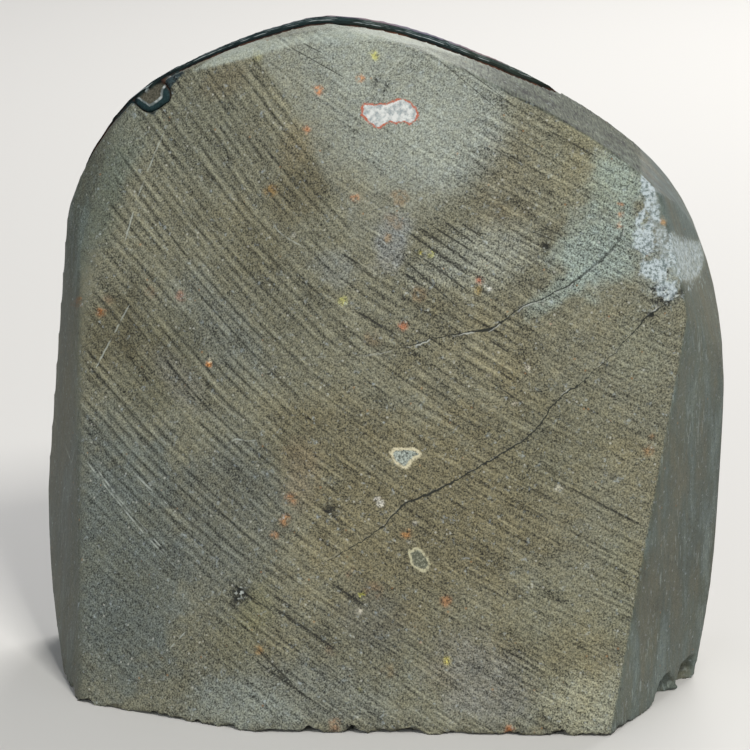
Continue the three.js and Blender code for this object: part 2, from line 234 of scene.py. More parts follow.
# Small stains: column, row, radius, colour, strength.
STAINS = [
    (318, 88, 5, (196, 120, 60), 0.8), (307, 130, 4, (190, 120, 70), 0.7),
    (270, 190, 7, (150, 110, 40), 0.8), (354, 197, 5, (190, 115, 60), 0.7),
    (401, 200, 9, (128, 96, 56), 0.7), (393, 222, 8, (128, 100, 60), 0.6),
    (387, 238, 5, (134, 104, 60), 0.6), (480, 280, 4, (190, 90, 50), 0.9),
    (477, 290, 5, (150, 126, 60), 0.6), (402, 325, 5, (170, 96, 60), 0.7),
    (421, 295, 7, (138, 100, 60), 0.6), (373, 340, 9, (126, 98, 66), 0.5),
    (290, 498, 6, (170, 104, 50), 0.7), (283, 520, 5, (160, 104, 50), 0.6),
    (274, 535, 4, (160, 104, 54), 0.5), (350, 575, 7, (160, 100, 70), 0.6),
    (447, 600, 6, (165, 100, 55), 0.7), (545, 248, 6, (84, 78, 40), 0.9),
    (650, 450, 6, (160, 112, 60), 0.7), (652, 436, 4, (160, 112, 60), 0.6),
    (258, 650, 5, (150, 112, 60), 0.6), (335, 725, 6, (168, 112, 70), 0.6),
    (510, 730, 5, (176, 108, 60), 0.8), (258, 56, 6, (150, 146, 84), 0.6),
    (345, 300, 5, (196, 194, 110), 0.95), (447, 660, 4.5, (196, 188, 100), 0.9),
    (362, 596, 3, (190, 190, 60), 0.9), (420, 253, 3, (190, 180, 80), 0.7),
    (431, 253, 3, (180, 180, 80), 0.6), (374, 55, 4, (190, 186, 90), 0.7),
    (102, 311, 5, (190, 110, 40), 0.8), (76, 302, 5, (120, 78, 44), 0.8),
    (108, 300, 9, (118, 84, 60), 0.5), (182, 297, 5, (150, 108, 88), 0.6),
    (151, 293, 6, (110, 74, 48), 0.6), (209, 364, 3, (196, 120, 40), 0.8),
    (361, 78, 4, (200, 140, 90), 0.9), (620, 205, 2.5, (176, 124, 84), 0.9),
    (620, 215, 2.5, (176, 124, 84), 0.9), (619, 226, 3, (186, 124, 84), 0.9),
    (664, 222, 4, (176, 140, 96), 0.8), (407, 535, 5, (170, 120, 70), 0.7),
    (380, 504, 3, (216, 214, 204), 0.9), (377, 499, 2.5, (220, 216, 206), 0.9),
    (415, 524, 2, (210, 208, 200), 0.8), (409, 543, 2.5, (200, 200, 196), 0.7),
    (435, 310, 9, (104, 96, 66), 0.5), (500, 210, 12, (98, 88, 64), 0.5),
    (330, 650, 8, (134, 100, 76), 0.5), (388, 672, 7, (130, 104, 60), 0.5),
    (374, 592, 9, (134, 100, 70), 0.5), (360, 690, 4, (160, 158, 92), 0.5),
    (488, 287, 3, (214, 214, 210), 0.8), (559, 489, 3.5, (206, 204, 190), 0.8),
    (527, 367, 2.5, (216, 212, 200), 0.8), (515, 403, 2.5, (210, 206, 196), 0.7),
    (488, 375, 2.5, (200, 196, 184), 0.7), (210, 360, 2.5, (210, 206, 180), 0.8),
    (360, 611, 3, (212, 206, 190), 0.8), (293, 235, 3, (204, 204, 196), 0.5),
]
# Chips out of the base's edge: column, half width in the picture, depth in millimetres.
BASE_CHIPS = [(119, 9, 0.6), (166, 7, 1.1), (207, 8, 0.5), (262, 12, 0.5), (560, 14, 0.5), (601, 8, 0.8)]
# Pits: column, row, radius in the picture, depth in millimetres.
PITS = [
    (240, 592, 9, 0.30), (236, 600, 5, 0.35), (330, 510, 7, 0.25), (546, 246, 5, 0.35),
    (270, 374, 2.5, 0.35), (377, 79, 3, 0.35), (383, 91, 2.5, 0.4), (374, 84, 2.5, 0.25),
    (387, 84, 2.5, 0.25), (650, 315, 2.5, 0.6), (666, 299, 6, 0.45), (677, 295, 4, 0.3),
    (665, 290, 4, 0.3), (656, 300, 4, 0.3), (684, 292, 4, 0.3), (655, 170, 3, 0.25),
    (655, 288, 3, 0.25),
]
# Bands of the agate from the basalt inwards: share of BAND_DEPTH, which is in millimetres, and colour.
BAND_DEPTH = 8.0
AGATE_BANDS = [
    (0.00, (110, 64, 48)), (0.03, (74, 54, 46)), (0.07, (24, 29, 30)), (0.26, (38, 50, 50)),
    (0.36, (22, 28, 29)), (0.42, (50, 62, 62)), (0.47, (30, 38, 40)), (0.56, (52, 70, 72)),
    (0.66, (24, 31, 33)), (0.76, (60, 74, 76)), (0.86, (34, 42, 46)), (0.93, (96, 92, 104)),
    (1.00, (128, 122, 138)),
]


def to_linear(colour):
    """A colour as the eye sees it, 0 to 255, turned into the light values that a shader uses."""
    share = np.asarray(colour, float) / 255
    return np.where(share <= 0.04045, share / 12.92, ((share + 0.055) / 1.055) ** 2.4)


def smooth_step(value, low, high):
    """0 below low, 1 above high, with a soft passage between them."""
    share = np.clip((value - low) / (high - low), 0, 1)
    return share * share * (3 - 2 * share)


def picture_place(points):
    """Columns and rows at which points of the stone show in the picture."""
    rel = points - np.array(CAMERA_PLACE)
    ahead = rel[:, 1] * math.sin(CAMERA_TILT) - rel[:, 2] * math.cos(CAMERA_TILT)
    up = rel[:, 1] * math.cos(CAMERA_TILT) + rel[:, 2] * math.sin(CAMERA_TILT)
    focal = CAMERA_LENS / CAMERA_SENSOR * PICTURE
    return PICTURE / 2 + focal * rel[:, 0] / ahead, PICTURE / 2 - focal * up / ahead


def facing_camera(points, normals):
    """Cosine of the angle between the surface and the line of sight."""
    sight = np.array(CAMERA_PLACE) - points
    return (normals * sight).sum(1) / np.linalg.norm(sight, axis=1)


def lattice_noise(x, y, seed):
    """Smooth noise from 0 to 1 with one value at each whole x and y."""
    table = np.random.default_rng(seed).random((64, 64))
    column, row = np.floor(x).astype(int), np.floor(y).astype(int)
    fx, fy = smooth_step(x - column, 0, 1), smooth_step(y - row, 0, 1)
    corner = [[table[(row + b) % 64, (column + a) % 64] for a in (0, 1)] for b in (0, 1)]
    low = corner[0][0] * (1 - fx) + corner[0][1] * fx
    high = corner[1][0] * (1 - fx) + corner[1][1] * fx
    return low * (1 - fy) + high * fy


def along_line(u, v, line):
    """Signed distance across an open line, and the share of its length at the nearest point."""
    line = np.array(line, float)
    lengths = np.hypot(*(line[1:] - line[:-1]).T)
    starts = np.concatenate([[0], np.cumsum(lengths)[:-1]])
    best = np.full(u.shape, np.inf)
    across = np.zeros(u.shape)
    share = np.zeros(u.shape)
    for a, b, length, start in zip(line[:-1], line[1:], lengths, starts):
        step = (b - a) / length
        t = np.clip((u - a[0]) * step[0] + (v - a[1]) * step[1], 0, length)
        du, dv = u - a[0] - t * step[0], v - a[1] - t * step[1]
        gap = np.hypot(du, dv)
        side = np.where(step[0] * dv - step[1] * du >= 0, 1, -1)
        near = gap < best
        best = np.where(near, gap, best)
        across = np.where(near, gap * side, across)
        share = np.where(near, (start + t) / lengths.sum(), share)
    return across, share


def inside_by(u, v, outline):
    """Distance inside a closed outline, negative outside it."""
    closed = outline + outline[:1]
    gap = np.abs(along_line(u, v, closed)[0])
    inside = np.zeros(u.shape, bool)
    for (ua, va), (ub, vb) in zip(closed[:-1], closed[1:]):
        if va != vb:
            crosses = (va > v) != (vb > v)
            inside ^= crosses & (u < (ub - ua) * (v - va) / (vb - va) + ua)
    return np.where(inside, gap, -gap)


def turned_reach(across, down, half_width, half_height, angle):
    """Distance from the middle of a turned ellipse, 1 on its edge."""
    angle = math.radians(angle)
    return np.hypot((across * math.cos(angle) + down * math.sin(angle)) / half_width,
                    (down * math.cos(angle) - across * math.sin(angle)) / half_height)


def edge_column(v, line):
    """Column of a near-upright line, given as rows and columns, at each row."""
    rows, columns = zip(*line)
    return np.interp(v, rows, columns)


def only(piece):
    """Selects one piece alone."""
    bpy.ops.object.select_all(action="DESELECT")
    piece.select_set(True)
    bpy.context.view_layer.objects.active = piece


def copy_node(node, name):
    """A merged copy of a node's mesh as a new piece."""
    source = frame["nodes"][node]
    mesh = source.data.copy()
    mesh.name = name
    mesh.materials.clear()
    piece = bpy.data.objects.new(name, mesh)
    bpy.context.scene.collection.objects.link(piece)
    only(piece)
    bpy.ops.object.mode_set(mode="EDIT")
    bpy.ops.mesh.select_all(action="SELECT")
    bpy.ops.mesh.remove_doubles(threshold=1e-6)
    bpy.ops.object.mode_set(mode="OBJECT")
    return piece


def apply_modifier(piece, kind, **settings):
    only(piece)
    modifier = piece.modifiers.new(kind.lower(), kind)
    for key, value in settings.items():
        setattr(modifier, key, value)
    bpy.ops.object.modifier_apply(modifier=modifier.name)


def thin_out(piece, spare, ratio):
    """Cuts back the triangles at the spare vertices."""
    group = piece.vertex_groups.new(name="spare")
    group.add(np.flatnonzero(spare).tolist(), 1.0, "REPLACE")
    apply_modifier(piece, "DECIMATE", ratio=ratio, vertex_group=group.name, vertex_group_factor=1.0)
    piece.vertex_groups.clear()


def shade_smooth(mesh):
    for polygon in mesh.polygons:
        polygon.use_smooth = True


def read_points(mesh):
    points = np.empty(len(mesh.vertices) * 3)
    mesh.vertices.foreach_get("co", points)
    return points.reshape(-1, 3)


def write_points(mesh, points):
    mesh.vertices.foreach_set("co", points.astype(np.float32).ravel())
    mesh.update()


def read_normals(mesh):
    normals = np.empty(len(mesh.vertices) * 3, np.float32)
    mesh.vertex_normals.foreach_get("vector", normals)
    return normals.reshape(-1, 3).astype(float)


def keep_value(mesh, name, *columns):
    """Stores one number at each vertex for the materials, or two or three as a vector."""
    kind, field = "FLOAT", "value"
    if len(columns) > 1:
        kind, field = "FLOAT_VECTOR", "vector"
        columns = [*columns, np.zeros(len(mesh.vertices))][:3]
    values = np.column_stack(columns).astype(np.float32)
    mesh.attributes.new(name, kind, "POINT").data.foreach_set(field, values.ravel())


def keep_colour(mesh, name, colours):
    values = np.column_stack([colours, np.ones(len(colours))]).astype(np.float32)
    mesh.attributes.new(name, "FLOAT_COLOR", "POINT").data.foreach_set("color", values.ravel())


def saw_ribs(across, along, seed):
    """Height of the ribs, the phase across them, whole in the cuts between, and the cuts' strength."""
    phase = across + 0.7 * (lattice_noise(across / 5, along / 110, seed) - 0.5)
    rib = np.floor(phase)
    strength = 0.35 + 0.65 * lattice_noise(rib * 7.31, along / 55, seed + 1)
    gone = smooth_step(lattice_noise(rib * 3.7, along / 24, seed + 2), 0.12, 0.4)
    cut = np.round(phase)
    deep = smooth_step(lattice_noise(cut * 3.7, along / 30, seed + 3), 0.25, 0.75)
    deep *= 0.45 + 0.55 * lattice_noise(cut * 7.31, along / 80, seed + 4)
    return (0.5 - 0.5 * np.cos(2 * math.pi * phase)) * strength * gone, phase, deep


def soften_arrises(points):
    """Wears the arrises between the sawn faces of the back round."""
    distances = []
    for at, yaw, lean in SAWN_FACES:
        yaw, lean = math.radians(yaw), math.radians(lean)
        normal = np.array([math.sin(yaw) * math.cos(lean), -math.cos(yaw) * math.cos(lean), math.sin(lean)])
        distances.append((points / MM - np.array(at) - np.array(SHIFT)) @ normal)
    distances = np.array(distances)
    nearest = distances.max(0)
    spread = np.log(np.exp((distances - nearest) / ARRIS_SOFTNESS).sum(0))
    return np.where(nearest > -1.5, ARRIS_SOFTNESS * spread, 0) * MM


def make_basalt():
    """The basalt, with the marks of its back as relief and as values for the material."""
    piece = copy_node("basalt_matrix", "basalt_stone")
    apply_modifier(piece, "REMESH", mode="VOXEL", voxel_size=BASALT_VOXEL, adaptivity=0)
    mesh = piece.data

    # The mesh stays fine where the picture looks at it.
    points, normals = read_points(mesh), read_normals(mesh)
    u, v = picture_place(points)
    seen = (normals[:, 1] < -0.45) & (points[:, 1] < 0.024) & (normals[:, 2] > -0.5)
    seen &= (u > edge_column(v, LEFT_EDGE) - 8) & (u < edge_column(v, RIGHT_EDGE) + 16)
    crown = (v < 170) & (u > 190) | (v < 310) & (u > 600)
    seen |= crown & (facing_camera(points, normals) > 0.05) & (points[:, 1] < 0.03)
    faces = len(mesh.polygons) * 2
    target = faces * seen.mean() + SPARE_TRIANGLES
    thin_out(piece, ~seen, min(1.0, target / faces))
    mesh = piece.data

    # How far each vertex belongs to the back, to its sawn faces, to the agate strip and to the chalk.
    points, normals = read_points(mesh), read_normals(mesh)
    u, v = picture_place(points)
    facing = smooth_step(-normals[:, 1], 0.15, 0.5)
    back = facing * smooth_step(0.024 - points[:, 1], 0, 0.004)
    sight = facing_camera(points, normals)
    shown = smooth_step(sight, 0.0, 0.1)

    ridge = edge_column(v, RIDGE) + 6 * (lattice_noise(v / 22, v * 0, 5) - 0.5)
    left = smooth_step(ridge - u, -6, 6) * smooth_step(u - edge_column(v, LEFT_EDGE), -4, 14)
    left_fade = 1 - 0.75 * smooth_step(v - 1.15 * (u - 85), 430, 510)
    left_fade *= 1 - 0.4 * smooth_step(v - 1.0 * (u - 80), 560, 640)
    right_of_edge = smooth_step(u - edge_column(v, RIGHT_EDGE), -2, 2)
    right_of_edge = np.maximum(right_of_edge, smooth_step(normals[:, 0], 0.6, 0.8))
    centre = (1 - smooth_step(ridge - u, -6, 6)) * (1 - right_of_edge)
    top = centre * (1 - smooth_step(u - edge_column(v, TOP_FACE_RIGHT), -45, 25))
    top *= 1 - smooth_step(v, 170, 275)
    band = smooth_step(inside_by(u, v, TOP_BAND), -1.5, 1)
    ragged = 0.35 * (lattice_noise(u / 16, v / 16, 91) - 0.5) + 0.25 * (lattice_noise(u / 6, v / 6, 92) - 0.5)
    chalk = np.zeros(len(points))
    for at_u, at_v, half_width, half_height, angle, strength in CHALK:
        reach = turned_reach(u - at_u, v - at_v, half_width, half_height, angle)
        blob = smooth_step(sight, 0.1, 0.35) * (1 - smooth_step(reach + 1.6 * ragged, 0.55, 1.15))
        chalk = np.maximum(chalk, strength * blob)
    plateau = smooth_step(sight, 0.08, 0.2) * smooth_step(inside_by(u, v, PLATEAU) + 14 * ragged, -4, 4)
    chalk = np.maximum(chalk, 0.42 * plateau)

    # Saw marks.
    radius = np.hypot(u - LEFT_ARC_CENTRE[0], v - LEFT_ARC_CENTRE[1])
    turn = np.arctan2(v - LEFT_ARC_CENTRE[1], u - LEFT_ARC_CENTRE[0])
    left_along = turn * LEFT_ARC_RADIUS
    column = u - CENTRE_COLUMN
    fall = (v - CENTRE_SLOPE * column + CENTRE_CURVE * column ** 2) * CENTRE_SHORTENING
    centre_along = column / CENTRE_SHORTENING
    left_rib, left_phase, left_cut = saw_ribs(radius / LEFT_RIB, left_along, 11)
    coarse, coarse_phase, coarse_cut = saw_ribs(fall / CENTRE_RIB, centre_along, 21)
    fine, fine_phase, fine_cut = saw_ribs(fall / CENTRE_FINE_RIB, centre_along, 31)
    patchy = lattice_noise(u / 90, v / 60, 41)
    left_mark = left * left_fade * (1 - band)
    left_lines = left * (0.45 + 0.55 * left_fade) * (1 - band)
    coarse_mark = centre * (1 - 0.8 * top) * (0.25 + 0.9 * patchy) * (1 - 0.6 * smooth_step(u, 520, 600))
    fine_mark = centre * (1 - 0.4 * top) * (1.3 - 0.9 * patchy)

    # Relief along the normals, in millimetres.
    relief = 0.24 * left_mark * (left_rib - 0.4) + 0.24 * coarse_mark * (coarse - 0.4)
    relief += 0.12 * fine_mark * (fine - 0.4)
    cut_across = np.full(len(points), 9.0)
    cut_width = np.zeros(len(points))
    for start, end, depth in DEEP_CUTS:
        across, share = along_line(u, v, [start, end])
        taper = smooth_step(share, 0, 0.2) * smooth_step(1 - share, 0, 0.25)
        relief -= 0.7 * depth * taper * np.exp(-(across / 1.8) ** 2)
        near = np.abs(across) < np.abs(cut_across)
        cut_across = np.where(near, across, cut_across)
        width = (0.5 + 4 * depth) * taper * smooth_step(3.4 - np.abs(across), 0, 1.2)
        cut_width = np.where(near, width, cut_width)
    for _, line, widths in CRACKS:
        across, share = along_line(u, v, line)
        width = np.interp(share, *zip(*widths))
        relief -= 0.06 * np.minimum(width, 2.0) * np.exp(-(across / (1.0 + 0.4 * width)) ** 2)
    for at_u, at_v, size, depth in PITS:
        rough = 0.4 + 1.2 * lattice_noise(u / 3.1, v / 3.1, 51)
        relief -= depth * rough * np.exp(-((u - at_u) ** 2 + (v - at_v) ** 2) / size ** 2)
    lumps = lattice_noise(u / 4.5, v / 4.5, 61) + 0.6 * lattice_noise(u / 9, v / 9, 62) - 0.8
    relief += 0.35 * chalk * lumps
    relief += 0.10 * (lattice_noise(u / 60, v / 60, 71) - 0.5)
    grit = lattice_noise(points[:, 0] / MM / 0.9, points[:, 2] / MM / 0.9 + points[:, 1] / MM * 1.7, 81) - 0.5
    relief += 0.05 * grit
    relief *= back

    inward = soften_arrises(points) * smooth_step(0.028 - points[:, 1], 0, 0.006)
    moved = points + normals * (relief * MM - inward)[:, None]

    # Chips along the edge of the foot, deepest at the very edge.
    columns = (np.clip(u, 0, PICTURE - 1) / 5).astype(int)
    base_row = np.zeros(PICTURE // 5)
    np.maximum.at(base_row, columns, np.where(points[:, 2] < 0.003, v, 0))
    behind = np.clip((base_row[columns] - v) / 1.44 - points[:, 2] / MM * 3.5, 0, None)
    chip = 2.6 * np.clip(lattice_noise(u / 11, v * 0, 101) - 0.55, 0, 1)
    chip += 1.1 * np.clip(lattice_noise(u / 3.7, v * 0, 102) - 0.45, 0, 1)
    for at_u, half, deep in BASE_CHIPS:
        chip = np.maximum(chip, deep * (1 - np.abs(u - at_u) / half))
    chip *= 1 - 0.75 * right_of_edge
    chip *= MM * (points[:, 2] < 0.004) * (1 - smooth_step(behind, 0.5, 3.0))
    moved[:, 2] = np.maximum(moved[:, 2], chip)
    write_points(mesh, moved)

    # Tone of the stone, with painted shade on the upward-facing parts at the upper right.
    tone = np.tile(to_linear(BASE_TONE), (len(points), 1))

    def tint(colour, share):
        tone[:] = tone * (1 - share[:, None]) + to_linear(colour) * share[:, None]

    for at_u, at_v, half_width, half_height, angle, colour, strength in TONE_PATCHES:
        reach = turned_reach(u - at_u, v - at_v, half_width, half_height, angle)
        tint(colour, strength * (1 - smooth_step(reach + ragged, 0.45, 1.15)))
    inner = 0.45 + 0.55 * smooth_step(u - ridge, 0, 75)
    tint((141, 146, 136), 0.9 * top * inner * (1 - smooth_step(v, 150, 230)))
    tint((124, 128, 120), 0.6 * top * smooth_step(v, 150, 230))
    tint((154, 160, 149), 0.95 * band)
    tint((146, 154, 146), 0.85 * plateau)
    side = (1 - smooth_step(u - edge_column(v, LEFT_EDGE), -12, 10)) * smooth_step(-normals[:, 0], 0.3, 0.6)
    tint((78, 83, 75), 0.85 * side)
    right_side = right_of_edge * smooth_step(normals[:, 0], 0.2, 0.45) * (1 - chalk) * (1 - plateau)
    right_side = np.maximum(right_side, right_of_edge * shown * smooth_step(v, 600, 640))
    tint((86, 97, 92), 0.85 * right_side)
    tint((74, 80, 72), 0.6 * right_side * smooth_step(v, 400, 500) * (1 - smooth_step(v, 590, 680)))
    # Painted shade: upward-facing vertices right of columns 430 to 520, off the agate strip, are tinted
    # grey-green and darkened against the light from above.
    lit_top_painted_shade = smooth_step(normals[:, 2], 0.5, 0.8) * (1 - band) * smooth_step(u, 430, 520)
    tint((112, 122, 106), 0.75 * lit_top_painted_shade)
    tone *= (1 - 0.58 * lit_top_painted_shade)[:, None]
    # Painted shade: the upward-facing crest at the right edge, above rows 240 to 320, is tinted and darkened.
    crest_painted_shade = shown * smooth_step(u, 642, 660) * smooth_step(normals[:, 2], 0.25, 0.6)
    crest_painted_shade *= 1 - smooth_step(v, 240, 320)
    tint((96, 110, 105), 0.8 * crest_painted_shade)
    tone *= (1 - 0.42 * crest_painted_shade)[:, None]
    tint((40, 54, 56), shown * smooth_step(inside_by(u, v, POCKET), -0.6, 0.2))
    keep_colour(mesh, "tone", tone)
    for at_u, at_v, size, colour, strength in STAINS:
        gap = np.hypot(u - at_u, v - at_v) / size / 1.2 + 2.2 * ragged
        boldness = 0.95 if size < 6 else 0.6
        tint(colour, boldness * strength * shown * (1 - smooth_step(gap, 0.35, 1.1)))
    keep_colour(mesh, "stained", tone)

    # What else the material reads at each vertex.
    amygdales = []
    for outline in (BIG_AMYGDALE, TRIANGLE_AMYGDALE, RING_AMYGDALE):
        amygdales.append(np.clip(inside_by(u, v, outline), -8, 8) * (shown > 0.2) - 8.0 * (shown <= 0.2))
    keep_value(mesh, "amygdales", *amygdales)
    pits = np.zeros(len(points))
    for at_u, at_v, size, depth in PITS:
        pits = np.maximum(pits, back * np.exp(-((u - at_u) ** 2 + (v - at_v) ** 2) / (0.8 * size) ** 2))
    keep_value(mesh, "pits", pits)
    keep_value(mesh, "unsawn", np.maximum(right_side, 0.6 * side))

    shoulder = smooth_step(170 - u, 0, 20) * smooth_step(290 - v, 0, 80)
    sawn = np.clip(left + centre + 0.7 * shoulder, 0, 1) * shown * (1 - 0.8 * band) * (1 - 0.3 * top)
    keep_value(mesh, "grazed", smooth_step(normals[:, 2], 0.5, 0.8) * shown * smooth_step(u, 440, 480))
    keep_value(mesh, "relief", relief)
    keep_value(mesh, "sawn", sawn)
    keep_value(mesh, "chalk", chalk)
    left_along /= STREAK_LENGTH
    centre_along /= STREAK_LENGTH
    keep_value(mesh, "saw_left", left_phase, left_along, left_lines * left_cut * shown)
    keep_value(mesh, "saw_coarse", coarse_phase, centre_along, coarse_mark * coarse_cut * shown)
    keep_value(mesh, "saw_fine", fine_phase, centre_along, fine_mark * fine_cut * shown)
    keep_value(mesh, "deep_cuts", cut_across, cut_width * (shown > 0.2))
    for name, line, widths in CRACKS:
        across, share = along_line(u, v, line)
        across += 1.6 * (lattice_noise(u / 4, v / 4, 95) - 0.5)
        keep_value(mesh, name, across, np.interp(share, *zip(*widths)) * (back > 0.2), share)
    for number, line in enumerate(VEINS):
        across, share = along_line(u, v, line)
        width = 0.75 * smooth_step(share, 0, 0.1) * smooth_step(1 - share, 0, 0.1)
        keep_value(mesh, f"vein_{number}", across, width)
    shade_smooth(mesh)
    return piece


class Recipe:
    """One material's node tree. Any input takes a number, a colour or another node's output."""

    def __init__(self, name):
        self.material = bpy.data.materials.new(name)
        self.material.use_nodes = True
        self.tree = self.material.node_tree
        self.tree.nodes.clear()

    def node(self, kind, settings=(), inputs=()):
        made = self.tree.nodes.new("ShaderNode" + kind)
        for key, value in dict(settings).items():
            setattr(made, key, value)
        for key, value in dict(inputs).items():
            self.feed(made.inputs[key], value)
        return made

    def feed(self, socket, value):
        if isinstance(value, bpy.types.NodeSocket):
            self.tree.links.new(value, socket)
        elif value is not None:
            socket.default_value = value

    def math(self, operation, a, b=None, c=None, clamp=False):
        made = self.tree.nodes.new("ShaderNodeMath")
        made.operation = operation
        made.use_clamp = clamp
        for socket, value in zip(made.inputs, (a, b, c)):
            self.feed(socket, value)
        return made.outputs[0]

    def mix(self, share, a, b, blend="MIX"):
        made = self.node("Mix", {"data_type": "RGBA", "blend_type": blend, "clamp_factor": True})
        self.feed(made.inputs[0], share)
        self.feed(made.inputs[6], a)
        self.feed(made.inputs[7], b)
        return made.outputs[2]

    def between(self, value, low, high, to_low=0.0, to_high=1.0, smooth=False):
        made = self.node(
            "MapRange",
            {"interpolation_type": "SMOOTHSTEP" if smooth else "LINEAR", "clamp": True},
            {"Value": value, "From Min": low, "From Max": high, "To Min": to_low, "To Max": to_high},
        )
        return made.outputs[0]

    def noise(self, vector, scale, detail=2.0, roughness=0.5):
        inputs = {"Vector": vector, "Scale": scale, "Detail": detail, "Roughness": roughness}
        return self.node("TexNoise", {}, inputs).outputs["Fac"]

    def grey(self, value):
        return self.node("CombineColor", {}, {"Red": value, "Green": value, "Blue": value}).outputs[0]

    def attribute(self, name, output="Fac"):
        return self.node("Attribute", {"attribute_name": name}).outputs[output]

    def parts(self, vector):
        return self.node("SeparateXYZ", {}, {"Vector": vector}).outputs

    def stretched(self, vector, scale):
        return self.node("Mapping", {}, {"Vector": vector, "Scale": scale}).outputs[0]

    def objects(self):
        return self.node("TexCoord").outputs["Object"]

    def finish(self, surface, volume=None):
        output = self.node("OutputMaterial", {}, {"Surface": surface})
        if volume is not None:
            self.feed(output.inputs["Volume"], volume)
        return self.material


def rgb(colour):
    return (*to_linear(colour), 1.0)


